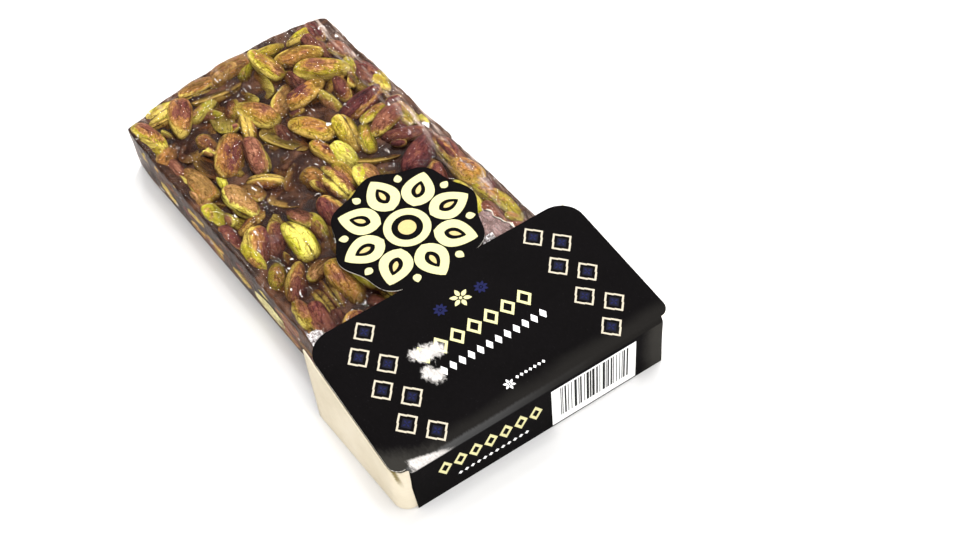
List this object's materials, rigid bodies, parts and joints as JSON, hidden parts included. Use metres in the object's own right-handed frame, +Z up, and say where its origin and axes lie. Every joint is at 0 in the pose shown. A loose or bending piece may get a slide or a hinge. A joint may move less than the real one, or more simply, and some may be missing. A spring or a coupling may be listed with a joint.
{
  "type": "pistachio nougat bar in clear film with a card end tray",
  "caption": "Slab of whole pistachios in dark nougat, tightly film wrapped, one end in a cream card tray under a folded black header card with a rosette tab.",
  "frame": {"origin": "on the ground under the middle of the whole pack's box", "axes": "+Y along the pack from its card end to the bare end of the bar, +Z up from the ground"},
  "size_m": [0.091, 0.1596, 0.0203],
  "materials": {
    "film_wrapped_nougat": "tight clear film over pistachio kernels in dark amber nougat",
    "black_card": "black printed board with a satin coat and cream print",
    "cream_tray": "uncoated cream board"
  },
  "bodies": {
    "root": {"film_wrapped_nougat": "film_wrapped_nougat", "black_card": "black_card", "cream_tray": "cream_tray"}
  },
  "joints": []
}
